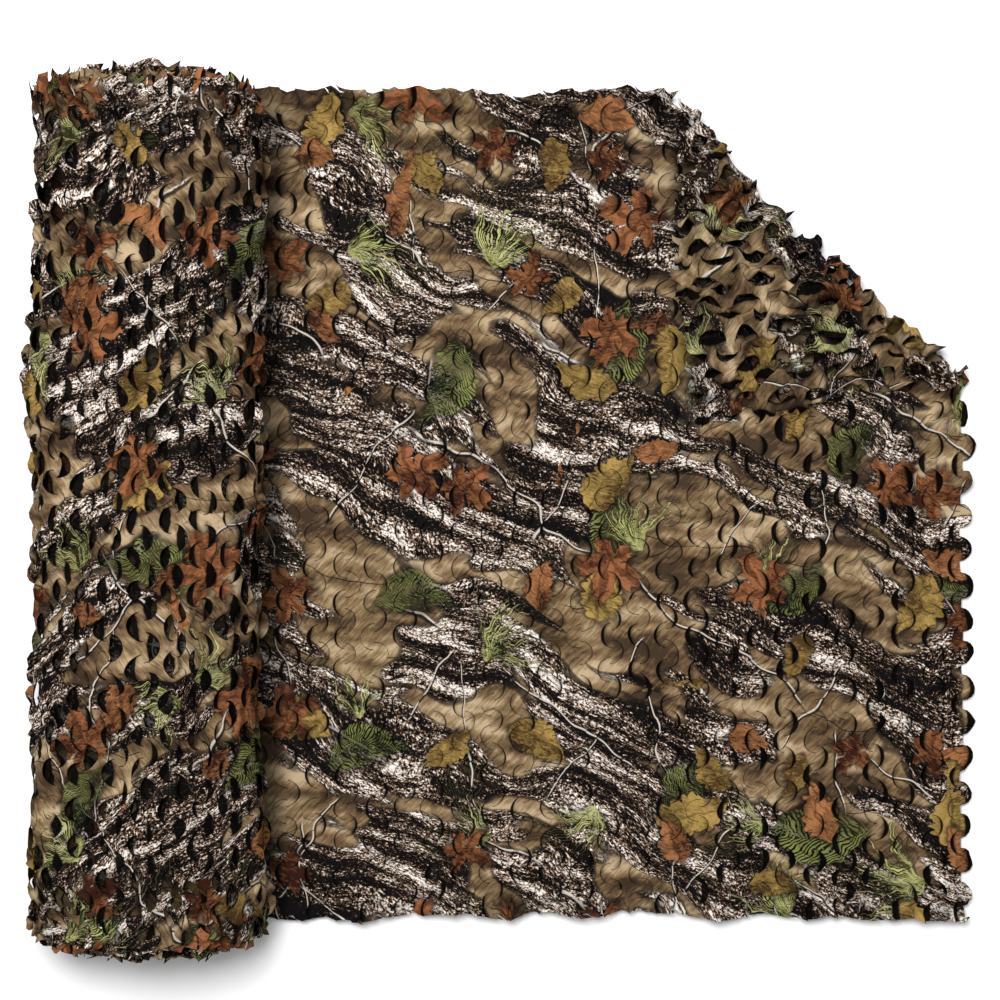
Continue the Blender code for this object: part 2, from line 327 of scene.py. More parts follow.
def cell_mesh():
    """One cell of the cut web, from one line of cuts to the next, as a flat mesh of triangles."""
    quarters = {0.0, CUT_PITCH_Y / 4, CUT_PITCH_Y / 2, CUT_PITCH_Y * 3 / 4, CUT_PITCH_Y}
    tips = {
        (share * CUT_PITCH_Y + way * CUT_RADIUS) % CUT_PITCH_Y
        for share in (LOWER_CUT, UPPER_CUT)
        for way in (-1, 1)
    }
    rim_y = sorted(quarters | tips)
    rim_x = [CUT_PITCH_X * share for share in CELL_RIM]
    outline = [(0.0, 0.0)] + [(x, 0.0) for x in rim_x]
    outline += [(CUT_PITCH_X, y) for y in rim_y]
    outline += [(x, CUT_PITCH_Y) for x in rim_x[::-1]]
    outline += [(0.0, y) for y in rim_y[:0:-1]]
    points = list(outline)
    faces = [list(range(len(outline)))]
    inside = []
    for line_x, side, share in ((0.0, 1, UPPER_CUT), (CUT_PITCH_X, -1, LOWER_CUT)):
        for row in (-1, 0, 1):
            centre_y = (share + row) * CUT_PITCH_Y
            slit = slit_outline(line_x, centre_y, side)
            faces.append(list(range(len(points), len(points) + len(slit))))
            points += slit
            for reach, angles in CELL_POINTS:
                for angle in angles:
                    turn = math.radians(angle)
                    x = line_x + side * reach * CUT_RADIUS * math.cos(turn)
                    inside.append((x, centre_y + reach * CUT_RADIUS * math.sin(turn)))
    low, high_x, high_y = CELL_MARGIN, CUT_PITCH_X - CELL_MARGIN, CUT_PITCH_Y - CELL_MARGIN
    points += [(x, y) for x, y in inside if low < x < high_x and low < y < high_y]
    found = delaunay_2d_cdt(points, [], faces, 0, 1e-6)
    kept = [tuple(face) for face, source in zip(found[2], found[5]) if source == [0]]
    used = sorted({corner for face in kept for corner in face})
    place = {old: new for new, old in enumerate(used)}
    mesh = bpy.data.meshes.new("cut_cell")
    points = [(found[0][old][0], found[0][old][1], 0.0) for old in used]
    mesh.from_pydata(points, [], [tuple(place[corner] for corner in face) for face in kept])
    return mesh


def web_tree():
    """Geometry Nodes: the cell laid out in columns and rows, joined and given its cloth."""
    inputs = {"Columns": "Int", "Rows": "Int", "Pitch X": "Float", "Pitch Y": "Float", "Weld": "Float"}
    inputs |= {"Cell": "Object", "Cloth": "Material"}
    wires, given = new_tree("cut_web", "GeometryNodeTree", inputs, {"Geometry": "Geometry"})
    inputs = {"Vertices " + way: given[label] for way, label in (("X", "Columns"), ("Y", "Rows"))}
    inputs |= {"Size " + way: (inputs["Vertices " + way] - 1.0) * given["Pitch " + way] for way in "XY"}
    grid = wires.node("GeometryNodeMeshGrid", inputs)["Mesh"]
    cell = wires.node("GeometryNodeObjectInfo", {"Object": given["Cell"]})["Geometry"]
    copies = wires.node("GeometryNodeInstanceOnPoints", {"Points": grid, "Instance": cell})["Instances"]
    web = wires.node("GeometryNodeRealizeInstances", {"Geometry": copies})["Geometry"]
    inputs = {"Geometry": web, "Distance": given["Weld"]}
    web = wires.node("GeometryNodeMergeByDistance", inputs)["Geometry"]
    web = wires.node("GeometryNodeSetMaterial", {"Geometry": web, "Material": given["Cloth"]})["Geometry"]
    wires.node("NodeGroupOutput", {"Geometry": web})
    return wires.tree


def flat_web(columns, rows, low_u, low_v):
    """The cut web drawn flat, its lowest corner at low_u, low_v: points (n, 2) and triangles (m, 3)."""
    tree = bpy.data.node_groups.get("cut_web") or web_tree()
    cell = bpy.data.objects.new("cut_cell", cell_mesh())
    carrier = bpy.data.objects.new("flat_web", bpy.data.meshes.new("flat_web"))
    for made in (cell, carrier):
        bpy.context.scene.collection.objects.link(made)
    modifier = carrier.modifiers.new("cut_web", "NODES")
    modifier.node_group = tree
    values = {
        "Columns": columns,
        "Rows": rows,
        "Pitch X": CUT_PITCH_X,
        "Pitch Y": CUT_PITCH_Y,
        "Weld": WELD,
        "Cell": cell,
        "Cloth": net_cloth(),
    }
    for item in tree.interface.items_tree:
        if item.in_out == "INPUT":
            modifier[item.identifier] = values[item.name]
    graph = bpy.context.evaluated_depsgraph_get()
    mesh = bpy.data.meshes.new_from_object(carrier.evaluated_get(graph))
    count = len(mesh.vertices)
    points = np.empty(count * 3, np.float32)
    mesh.vertices.foreach_get("co", points)
    faces = np.empty(len(mesh.polygons) * 3, np.int32)
    mesh.polygons.foreach_get("vertices", faces)
    for made in (cell, carrier):
        bpy.data.objects.remove(made, do_unlink=True)
    bpy.data.meshes.remove(mesh)
    flat = points.reshape(-1, 3)[:, :2].astype(float)
    flat += (low_u + (columns - 1) / 2 * CUT_PITCH_X, low_v + (rows - 1) / 2 * CUT_PITCH_Y)
    return flat, faces.reshape(-1, 3)


def off_line(flat):
    """The nearest line of cuts, counted from the cut end, and how far past it each point is."""
    line = np.round((END_X - flat[:, 0]) / CUT_PITCH_X)
    return line, flat[:, 0] - (END_X - line * CUT_PITCH_X)


def off_row(flat, share):
    """The nearest row of the cuts that have that place in their rows, and how far up from their middle."""
    rows = (flat[:, 1] - FRONT_Y) / CUT_PITCH_Y - share
    row = np.round(rows)
    return row, (rows - row) * CUT_PITCH_Y


class Cuts:
    """Where each point of the flat web lies against its nearest cut."""

    def __init__(self, flat):
        self.line, self.off = off_line(flat)
        self.side = np.where(self.off < 0.0, -1.0, 1.0)
        self.row, self.up = off_row(flat, np.where(self.side < 0.0, LOWER_CUT, UPPER_CUT))
        self.reach = np.hypot(self.off, self.up)
        inner = np.hypot(self.off / (CUT_RADIUS - SLIT), self.up / CUT_RADIUS)
        within = (self.reach < CUT_RADIUS - SLIT * 0.05) & (inner < 1.004)
        self.on_tongue = within & (np.abs(self.off) > 1e-5)

    def chance(self, salt):
        return chance(self.line, self.row, self.side, salt)


# ---------------------------------------------------------------- the surfaces it lies in


def ridges(x, y, rows):
    """The summed height of soft ridges at x, y."""
    height = np.zeros_like(x)
    for centre_x, centre_y, heading, half_length, half_width, high in rows:
        turn = math.radians(heading)
        along = (x - centre_x) * math.cos(turn) + (y - centre_y) * math.sin(turn)
        across = (y - centre_y) * math.cos(turn) - (x - centre_x) * math.sin(turn)
        height += high * np.exp(-((along / half_length) ** 2) - (across / half_width) ** 2)
    return height


def wave(flat, waves_u, waves_v, phase):
    """An even wave over the web, from -1 to 1."""
    return np.sin(waves_u * flat[:, 0] + waves_v * flat[:, 1] + phase)


def crinkle(flat):
    """The height of the small uneven waves."""
    height = np.zeros(len(flat))
    for waves_u, waves_v, phase, high in CRINKLES:
        height += high * wave(flat, waves_u, waves_v, phase)
    return height


def crease(flat):
    """Sharp little creases, from -1 to 1."""
    u = flat[:, 0] + 0.012 * np.sin(23.0 * flat[:, 1] + 1.0)
    v = flat[:, 1] + 0.012 * np.sin(19.0 * flat[:, 0] + 2.0)
    height = np.zeros(len(flat))
    for waves_u, waves_v, phase, share in CREASES:
        height += share * (1.0 - 2.0 * np.abs(np.sin(waves_u * u + waves_v * v + phase)))
    return height


def from_edge(flat):
    """How far each point of the web is from its nearest long edge, and 1 or -1 towards that edge."""
    return WIDTH / 2 - np.abs(flat[:, 1] - MIDDLE_Y), np.where(flat[:, 1] < MIDDLE_Y, -1.0, 1.0)


def beside_edge(flat, start, full):
    """0 further than start from the nearest long edge, 1 nearer to it than full."""
    return smooth(-from_edge(flat)[0], -start, -full)


def wandered(flat):
    """The flat web with its rows of cuts out of line and its long edges ragged, and the edges' lift."""
    moved = flat.copy()
    for waves_u, waves_v, phase, *shifts in WANDERS:
        moved += wave(flat, waves_u, waves_v, phase)[:, None] * shifts
    way = from_edge(flat)[1]
    near = beside_edge(flat, 0.035, 0.0)
    lift = np.zeros(len(flat))
    for waves, phase, shift, high in EDGE_TEETH:
        tooth = np.sin(waves * flat[:, 0] + phase + way)
        moved[:, 1] += way * shift * tooth * near
        lift += high * (1.0 + tooth) * near
    return moved, lift


def fold_axes():
    """The start of the fold's line, its direction, and the direction towards the turned corner."""
    start = np.array(FOLD_START)
    run = np.array(FOLD_END) - start
    run = run / np.hypot(*run)
    return start, run, np.array((-run[1], run[0]))


def past_fold(flat):
    """How far each point of the flat web is past the fold's line, towards the turned corner."""
    start, _, towards = fold_axes()
    return (flat - start) @ towards


def looseness(flat):
    """How much the cuts have opened: 0 where the cloth is pulled flat, 1 on the turned corner."""
    u, v = flat[:, 0], flat[:, 1]
    edge = np.minimum(v - FRONT_Y, BACK_Y - v)
    loose = 0.42 + 0.48 * smooth(u, 0.20, 0.55) + 0.35 * smooth(-edge, -0.11, -0.01)
    loose += 0.35 * smooth(-u, -NIP_X - 0.16, -NIP_X - 0.02)
    loose += 0.16 * np.sin(9.0 * u + 2.0) * np.sin(7.0 * v + 1.0)
    turned = smooth(past_fold(flat), -0.06, 0.04)
    return np.clip(loose * (1.0 - turned) + turned, 0.12, 1.0)


def tugged(flat):
    """Small pulls within the cloth where it is crumpled, along and across the web, from -1 to 1."""
    along = 0.55 * wave(flat, 61.0, -43.0, 1.0) + 0.45 * wave(flat, 37.0, 88.0, 2.6)
    across = 0.55 * wave(flat, 49.0, 57.0, 4.0) + 0.45 * wave(flat, 93.0, -29.0, 0.4)
    return along, across


def crumpled_share(past):
    """How crumpled the cloth is, from how far it is past the fold's line."""
    return smooth(past, -0.10, -0.01) * smooth(-past, -0.40, -0.15)


def hollow(flat):
    """1 in the deepest little hollows of the crumpled cloth."""
    return smooth(-crease(flat), 0.05, 0.50)


def laid_surface(flat):
    """Points of the flat web taken to the loose end as it lies, with its corner turned over."""
    start, run, towards = fold_axes()
    # The long edges sway, but not beside the roll
    calm = smooth(flat[:, 0], NIP_X, NIP_X + 0.10)
    sway = EDGE_WAVE * np.sin(5.0 * flat[:, 0] + 0.8) * calm
    near_front = smooth(-(flat[:, 1] - FRONT_Y), -EDGE_REACH, 0.0)
    near_back = smooth(flat[:, 1], BACK_Y - EDGE_REACH, BACK_Y)
    moved, edge_lift = wandered(flat)
    moved[:, 1] += sway * (near_front - near_back)

    # The corner is turned over a fold whose radius and edge are uneven
    rel = moved - start
    past = rel @ towards
    along = rel @ run
    over = past > 0.0
    past = np.where(over, past * FLAP_STRETCH, past)
    along = np.where(over, along + past * (1.0 - 1.0 / FLAP_STRETCH) * run[0] / towards[0], along)
    radius = FOLD_RADIUS * (1.0 + 0.22 * np.sin(along * 17.0 + 0.6) + 0.10 * np.sin(along * 41.0))
    bend = np.clip(past / radius, 0.0, math.pi)
    beyond = np.maximum(past - math.pi * radius, 0.0)
    near_fold = crumpled_share(past)
    folds = crease(flat)
    push = np.interp(along, FOLD_RUN, FOLD_PUSH) + 0.0035 * np.sin(along * 83.0) + 0.006 * folds
    out = np.where(over, radius * np.sin(bend) - beyond, past)
    out += push * smooth(past, -0.16, -0.02) * np.exp(-beyond / PUSH_FADE)
    place = start + along[:, None] * run + out[:, None] * towards

    # Small pulls, most of all on the turned corner
    tug_x, tug_y = tugged(flat)
    on_flap = over * smooth(from_edge(flat)[0], 0.0, 0.05)
    tug = 0.0010 + 0.0012 * near_fold + (0.0016 + 0.0042 * near_fold) * on_flap
    x = place[:, 0] + tug * tug_x
    y = place[:, 1] + tug * tug_y + FRONT_TAKE_IN * near_front * calm

    # Its height: the ground's ridges, the fold and the corner, then crinkles and creases
    calm = smooth(x, NIP_X + 0.06, NIP_X + 0.16)
    ground = np.maximum(ridges(x, y, SHEET_RIDGES) - RIDGE_LEVEL, 0.0) * calm
    ground += FLAT_Z + LOOSE_Z * looseness(flat) * (0.20 + 0.80 * calm)
    lift = radius * (1.0 - np.cos(bend))
    rest = FLAP_AIR + ridges(x, y, FLAP_RIDGES)
    settle = smooth(beyond, 0.0, FLAP_SETTLE)
    lift = np.where(beyond > 0.0, lift * (1.0 - settle) + rest * settle, lift)
    crumpled = 0.0012 + 0.0020 * smooth(flat[:, 0], 0.2, 0.6) + 0.0068 * beside_edge(flat, 0.07, 0.01)
    crumpled = crumpled + (0.0040 + 0.0085 * near_fold) * over + 0.0040 * near_fold
    height = ground + lift + crinkle(flat) * (0.35 + 0.9 * looseness(flat)) * calm
    height += (crumpled * (0.6 + folds) + edge_lift) * calm
    return np.column_stack((x, y, height))


def roll_skin(angle, y):
    """How far the roll's outermost turn stands proud of its plain oval."""
    proud = 0.0045 * np.sin(2 * angle + 6.0 * y) + 0.0035 * np.sin(3 * angle - 11.0 * y + 1.0)
    proud += 0.0025 * np.sin(angle + 23.0 * y)
    for centre_y, centre, twist, half_length, half_width, depth in ROLL_CREASES:
        middle = math.radians(centre) + math.radians(twist) * (y - centre_y)
        across = (angle - middle + math.pi) % (2 * math.pi) - math.pi
        along = (y - centre_y) / half_length
        proud -= depth * np.exp(-(along**2) - (across / math.radians(half_width)) ** 2)
    return proud


def roll_place(angle, y, size, floor):
    """A point of the roll at an angle of its section, drawn in to a share of its size."""
    x = ROLL_HALF_WIDTH * np.cos(angle)
    z = ROLL_HALF_HEIGHT * np.sin(angle)
    free = smooth(z + ROLL_CENTRE_Z, LUMP_START_Z, LUMP_START_Z + 0.05)
    swell = 1.0 + free * roll_skin(angle, y) / np.hypot(x, z)
    height = ROLL_CENTRE_Z + z * swell * size
    return np.column_stack((ROLL_X + x * swell * size, y, np.maximum(height, floor)))


def spiral():
    """The winding as a table: distance along the web from the join, angle of the section, size."""
    first = -math.acos((JOIN_X - ROLL_X) / ROLL_HALF_WIDTH)
    turns = np.arange(0.0, MOST_TURNS, 1.0 / 360)
    angle = first - turns * 2 * math.pi
    drawn_in = OUTER_STEP * np.minimum(turns, 1.0) + INNER_STEP * np.maximum(turns - 1.0, 0.0)
    size = np.maximum(1.0 - drawn_in / ROLL_HALF_WIDTH, LEAST_SIZE)
    points = roll_place(angle, np.zeros_like(angle), size, winding_floor(size))
    steps = np.hypot(np.diff(points[:, 0]), np.diff(points[:, 2]))
    return np.concatenate(((0.0,), np.cumsum(steps))), angle, size


def winding_floor(size):
    """The lowest that a turn lies: each rests on the one outside it."""
    return 0.0012 + 0.055 * (1.0 - size)


def wound_surface(flat):
    """Points of the flat web taken onto the spiral of the roll."""
    length, angles, sizes = SPIRAL
    moved = wandered(flat)[0]
    distance = JOIN_X - moved[:, 0]
    angle = np.interp(distance, length, angles)
    size = np.interp(distance, length, sizes)
    free = smooth(distance, 0.2, 0.6)
    tug_u, tug_v = tugged(flat)
    angle = np.where(distance < 0.0, angles[0], angle + 0.016 * tug_u * free)
    askew = ASKEW * smooth(distance, 0.0, 0.9)
    off = flat[:, 1] - MIDDLE_Y
    way = np.sign(off)
    reach = np.interp(size, END_SIZES, END_REACH) * smooth(np.abs(off), 0.35, 0.72)
    sway = 0.004 * np.sin(angle * 1.7 + way) * smooth(distance, 0.2, 0.8)
    near_end = beside_edge(flat, 0.16, 0.02)
    folds = crease(flat)
    y = moved[:, 1] - askew + way * reach + sway + (0.006 * near_end * folds + 0.0030 * tug_v) * free
    placed = roll_place(angle, y, size, winding_floor(size))
    placed[:, 0] -= np.minimum(distance, 0.0)
    left = smooth(-np.cos(angle), -0.1, 0.8)
    shift = crinkle(flat) * 1.8 + (0.0028 + 0.0030 * left + 0.0040 * near_end) * folds
    shift *= smooth(distance, 0.15, 0.4) * (0.35 + 0.65 * smooth(size, 0.90, 0.97))
    outward = np.column_stack((np.cos(angle), np.zeros(len(flat)), np.sin(angle)))
    return placed + outward * shift[:, None]


def frame_at(surface, flat):
    """The surface's place, its direction along the web and its outward normal at each point."""
    step = 0.0015
    here = surface(flat)
    along = surface(flat + (step, 0.0)) - surface(flat - (step, 0.0))
    across = surface(flat + (0.0, step)) - surface(flat - (0.0, step))
    normal = np.cross(along, across)
    for direction in (along, normal):
        direction /= np.maximum(np.linalg.norm(direction, axis=1), 1e-12)[:, None]
    return here, along, normal


SPIRAL = spiral()


# ---------------------------------------------------------------- the opened cuts


def bent(part, bend):
    """How far along and up from its hinge a share of a tongue is, as shares of the tongue's width."""
    steps = np.linspace(0.05, 0.95, 10)
    angle = bend[:, None] * smooth(part[:, None] * steps, 0.0, 0.60)
    return part * np.cos(angle).mean(axis=1), part * np.sin(angle).mean(axis=1)


def pulled(flat, stretch):
    """How far a pull along the web moves each point, so that the opened cuts grow round."""
    line, off = off_line(flat)
    shift = np.zeros(len(flat))
    for side, share in ((-1.0, LOWER_CUT), (1.0, UPPER_CUT)):
        row, up = off_row(flat, share)
        rounding = np.maximum(1.0 - (up / CUT_RADIUS) ** 2, 0.0)
        shift -= side * (0.25 + 0.75 * chance(line, row, side, 2)) * rounding
    return shift * stretch * np.exp(-((off / PULL_REACH) ** 2))


def opened(
    flat, surface, loose, outward, over_share, most_lift, covers, stretch=0.0, sink=1.0, ceiling=math.inf
):
    """Takes the flat web onto its surface and opens its cuts.

    At each cut the tongue either lies under the cloth beside it, whose lip rises, or bends up over
    it. Where it covers, a tongue that bends up still hides its cut from above. A stretch along the
    web rounds the cuts. Returns the middle of the cloth, and how wide the painted shade inside each
    tongue's rim is.
    """
    sizes = bpy.context.scene.net_sizes
    cuts = Cuts(flat)
    over = cuts.chance(1) < over_share
    strength = cuts.chance(2)
    twist = 1.1 * (cuts.chance(3) - 0.5) * cuts.up / CUT_RADIUS
    askew = 0.9 * (cuts.chance(6) - 0.5) * (over & ~covers)
    bend_up = most_lift * (0.30 + 0.70 * strength)
    bend_down = -sizes.sink * sink * loose * (0.35 + 0.65 * strength)
    bend = np.where(over, bend_up, bend_down) * (1.0 + twist)

    hinge = flat.copy()
    hinge[:, 0] -= cuts.off
    hinge[:, 0] += pulled(hinge, stretch)
    level, rise = bent(np.abs(cuts.off) / CUT_RADIUS, bend)
    whole = bent(np.ones(len(flat)), bend)[0]
    least = np.where(covers, 1.10, 1.0)
    most = np.where(covers, 1.45, np.where(over, 1.0, 1.30))
    drawn = np.clip(np.where(covers, 1.12, 1.06) / np.maximum(whole, 0.1), least, most) * CUT_RADIUS

    hinge_place, along, normal = frame_at(surface, hinge)
    rim_flat = hinge + np.column_stack((cuts.side * CUT_RADIUS, np.zeros(len(flat))))
    chord = (surface(rim_flat) - hinge_place) * (cuts.side / CUT_RADIUS)[:, None]
    along = np.where(covers[:, None], chord, along)
    tongue = hinge_place + along * (cuts.side * drawn * level)[:, None]
    tongue += np.cross(normal, along) * (askew * drawn * level)[:, None]
    tongue += normal * (outward * drawn * rise)[:, None]

    beyond = np.maximum(cuts.reach - CUT_RADIUS, 0.0)
    window = (np.abs(cuts.off) / np.maximum(cuts.reach, 1e-6)) ** 0.8
    fade = np.exp(-beyond / LIP_REACH) * window
    lip = np.where(over, -0.10, 1.0) * sizes.lip * loose * (0.30 + 0.70 * cuts.chance(4)) * fade
    inward = (np.where(over, 0.0, LIP_INWARD) - 0.35 * stretch) * fade
    shifted = flat.copy()
    shifted[:, 0] += pulled(flat, stretch)
    shifted[:, 0] -= inward * cuts.off / np.maximum(cuts.reach, 1e-6)
    shifted[:, 1] -= inward * cuts.up / np.maximum(cuts.reach, 1e-6)
    place, _, normal = frame_at(surface, shifted)
    rest = place + normal * (outward * lip)[:, None]

    middle = np.where(cuts.on_tongue[:, None], tongue, rest)
    middle[:, 2] = np.clip(middle[:, 2], LEAST_Z, ceiling)
    # Painted shade: the tongue is drawn dark inside its rim where it lies under the cloth beside it
    width = LEAST_SHADE + sizes.painted_shade_width * loose * (0.20 + 0.80 * strength**1.4)
    painted_shade_width = np.where(cuts.on_tongue & ~over, width, 0.0)
    return middle, painted_shade_width


def thickened(middle, faces, thickness):
    """A closed skin round a sheet of triangles: a top, a bottom and a wall along each edge."""
    corners = middle[faces]
    face_normals = np.cross(corners[:, 1] - corners[:, 0], corners[:, 2] - corners[:, 0])
    normals = np.zeros_like(middle)
    for corner in range(3):
        np.add.at(normals, faces[:, corner], face_normals)
    normals /= np.maximum(np.linalg.norm(normals, axis=1), 1e-15)[:, None]
    count = len(middle)
    points = np.vstack((middle + normals * thickness / 2, middle - normals * thickness / 2))
    sides = np.vstack((faces[:, (0, 1)], faces[:, (1, 2)], faces[:, (2, 0)]))
    code = sides[:, 0] * count + sides[:, 1]
    back = sides[:, 1] * count + sides[:, 0]
    rim = sides[~np.isin(code, back)]
    wall_a = np.column_stack((rim[:, 1], rim[:, 0], rim[:, 0] + count))
    wall_b = np.column_stack((rim[:, 1], rim[:, 0] + count, rim[:, 1] + count))
    return points, np.vstack((faces, faces[:, ::-1] + count, wall_a, wall_b))


def cloth_object(name, middle, faces, flat, painted_shade_width, painted_shade):
    """A closed piece of cloth."""
    used, index = np.unique(faces, return_inverse=True)
    faces = index.reshape(-1, 3).astype(np.int64)
    middle, flat, painted_shade_width, painted_shade = middle[used], flat[used], painted_shade_width[used], painted_shade[used]
    points, skin = thickened(middle, faces, bpy.context.scene.net_sizes.thickness)
    mesh = bpy.data.meshes.new(name)
    mesh.vertices.add(len(points))
    mesh.vertices.foreach_set("co", points.astype(np.float32).ravel())
    mesh.loops.add(len(skin) * 3)
    mesh.loops.foreach_set("vertex_index", skin.astype(np.int32).ravel())
    mesh.polygons.add(len(skin))
    mesh.polygons.foreach_set("loop_start", np.arange(0, len(skin) * 3, 3, dtype=np.int32))
    mesh.update(calc_edges=True)
    mesh.validate()
    place, painted_shade_width, painted_shade = (np.concatenate((part, part)) for part in (flat, painted_shade_width, painted_shade))
    made = dressed(name, mesh, place - (END_X, FRONT_Y), painted_shade_width, painted_shade)
    mesh.set_sharp_from_angle(angle=math.radians(55))
    return made


def dressed(name, mesh, place, painted_shade_width, painted_shade):
    """An object in the net's cloth: its place on the web is its UV, its painted shade is in two attributes.
    """
    corner = np.empty(len(mesh.loops), np.int32)
    mesh.loops.foreach_get("vertex_index", corner)
    mesh.uv_layers.new(name="web").data.foreach_set("uv", place[corner].astype(np.float32).ravel())
    for label, values in (("painted_shade_width", painted_shade_width), ("painted_shade", painted_shade)):
        shade = mesh.attributes.new(label, "FLOAT", "POINT")
        shade.data.foreach_set("value", values.astype(np.float32))
    mesh.materials.append(net_cloth())
    mesh.shade_smooth()
    made = bpy.data.objects.new(name, mesh)
    bpy.context.scene.collection.objects.link(made)
    return made


def under_flap(flat):
    """1 where the loose end lies under its turned corner."""
    start, run, towards = fold_axes()
    back = -past_fold(flat)
    along = (flat - start) @ run
    corner = np.array((END_X, BACK_Y)) - start
    top = corner @ towards * FLAP_STRETCH - math.pi * FOLD_RADIUS
    foot = corner @ run
    length = math.dist(FOLD_START, FOLD_END)
    reach = np.clip(np.minimum(along / foot, (length - along) / (length - foot)), 0.0, 1.0) * top
    return smooth(reach - back, 0.0, 0.05) * (back > 0.0)


# ---------------------------------------------------------------- the print


def sign(operation, swapped=False):
    """What a Python sign does between values: it makes the Math node of that operation."""

    def work_out(self, *other):
        values = (*other, self) if swapped else (self, *other)
        return self.wires.math(operation, *values)

    return work_out


class Value:
    """What a node puts out. Python's signs between values make the Math nodes that work them out."""

    def __init__(self, wires, socket):
        self.wires = wires
        self.socket = socket

    __add__ = sign("ADD")
    __sub__ = sign("SUBTRACT")
    __rsub__ = sign("SUBTRACT", swapped=True)
    __mul__ = sign("MULTIPLY")
    __truediv__ = sign("DIVIDE")
    __pow__ = sign("POWER")
    __abs__ = sign("ABSOLUTE")


class Wires:
    """Makes the nodes of one tree. An input is a value, or a plain number, vector or linear colour."""

    def __init__(self, tree):
        self.tree = tree

    def put(self, socket, value):
        if isinstance(value, Value):
            self.tree.links.new(value.socket, socket)
        else:
            socket.default_value = (*value[:3], 1.0) if socket.type == "RGBA" else value

    def node(self, kind, inputs=None, **settings):
        """Makes a node with its settings and inputs. Returns its outputs by number and by name."""
        made = self.tree.nodes.new(kind)
        for name, value in settings.items():
            setattr(made, name, value)
        for name, value in (inputs or {}).items():
            self.put(made.inputs[name], value)
        outputs = {}
        for number, socket in enumerate(made.outputs):
            outputs[number] = outputs[socket.name] = Value(self, socket)
        return outputs

    def math(self, operation, *values, clamp=False):
        return self.node("ShaderNodeMath", dict(enumerate(values)), operation=operation, use_clamp=clamp)[0]

    def vector(self, operation, *values):
        return self.node("ShaderNodeVectorMath", dict(enumerate(values)), operation=operation)[0]

    def larger(self, one, other):
        return self.math("MAXIMUM", one, other)

    def length(self, along, across):
        return self.math("SQRT", along * along + across * across)

    def fade(self, value, low, high):
        """A soft step from 0 at low to 1 at high. low may be the larger."""
        inputs = {"Value": value, "From Min": low, "From Max": high}
        return self.node("ShaderNodeMapRange", inputs, interpolation_type="SMOOTHSTEP")[0]

    def mix(self, share, under, over):
        return self.node("ShaderNodeMix", {0: share, 6: under, 7: over}, data_type="RGBA")[2]

    def noise(self, place, scale, detail=2.0, roughness=0.5, distortion=0.0):
        inputs = {"Vector": place, "Scale": scale, "Detail": detail, "Roughness": roughness}
        inputs["Distortion"] = distortion
        return self.node("ShaderNodeTexNoise", inputs, noise_dimensions="2D")["Fac"]

    def stretched(self, place, across, along, turn=0.0, shift=(0.0, 0.0)):
        """The place turned by an angle and shifted, then scaled in its own two directions."""
        inputs = {"Vector": place, "Location": (*shift, 0.0), "Rotation": (0.0, 0.0, turn)}
        turned = self.node("ShaderNodeMapping", inputs)["Vector"]
        return self.vector("MULTIPLY", turned, (across, along, 1.0))

    def streaks(self, place, across, along, turn, *texture, shift=(0.0, 0.0)):
        """Noise that is finer one way than the other, with its detail, roughness and distortion."""
        return self.noise(self.stretched(place, across, along, turn, shift), 1.0, *texture)

    def split(self, vector):
        return self.node("ShaderNodeSeparateXYZ", {"Vector": vector})

    def ramp(self, value, stops):
        """A colour ramp: each stop is its place and a linear colour."""
        made = self.tree.nodes.new("ShaderNodeValToRGB")
        self.put(made.inputs["Fac"], value)
        ramp = made.color_ramp
        while len(ramp.elements) < len(stops):
            ramp.elements.new(0.5)
        for element, (place, colour) in zip(ramp.elements, stops):
            element.position = place
            element.color = (*colour[:3], 1.0)
        return Value(self, made.outputs["Color"])


def new_tree(name, kind, inputs, outputs):
    """An empty tree, with sockets of the kinds given by name: its wires, and the values it is given."""
    tree = bpy.data.node_groups.new(name, kind)
    for way, sockets in (("INPUT", inputs), ("OUTPUT", outputs)):
        for label, socket_kind in sockets.items():
            tree.interface.new_socket(label, in_out=way, socket_type="NodeSocket" + socket_kind)
    wires = Wires(tree)
    return wires, wires.node("NodeGroupInput")


def print_group(name, numbers, masks, **colours):
    """An empty group of the print, given the place on the web and some numbers."""
    inputs = {"Place": "Vector"} | dict.fromkeys(numbers, "Float")
    return new_tree(name, "ShaderNodeTree", inputs, colours | dict.fromkeys(masks, "Float"))


LEAF_SHEEN = 1.80  # how much paler a leaf's palest patches are than its own colour
LEAF_NUMBERS = ("Spacing", "Seed", "Length", "Cover")
LEAF_MASKS = ("Leaf", "Shade", "Vein", "Tone")


def scattered(name):
    """A group of scattered leaves: its wires, how far along the nearest leaf and across it, in half
    lengths, its random colour, and 1 where its place is filled."""
    wires, given = print_group(name, LEAF_NUMBERS, LEAF_MASKS)
    spacing = given["Spacing"]
    shift = wires.node("ShaderNodeCombineXYZ", {"X": given["Seed"], "Y": given["Seed"] * 1.7})[0]
    place = wires.vector("ADD", wires.vector("DIVIDE", given["Place"], spacing), shift)
    inputs = {"Vector": place, "Scale": 1.0, "Randomness": 0.72}
    cell = wires.node("ShaderNodeTexVoronoi", inputs, voronoi_dimensions="2D")
    local = wires.vector("SUBTRACT", place, cell["Position"])
    luck = wires.node("ShaderNodeSeparateColor", {"Color": cell["Color"]})
    inputs = {"Vector": local, "Angle": luck[0] * math.tau}
    axes = wires.split(wires.node("ShaderNodeVectorRotate", inputs, rotation_type="Z_AXIS")[0])
    unit = spacing * 2.0 / (given["Length"] * (luck[1] * 0.5 + 0.72))
    here = wires.math("LESS_THAN", luck[2], given["Cover"])
    return wires, axes[0] * unit, axes[1] * unit, luck, here


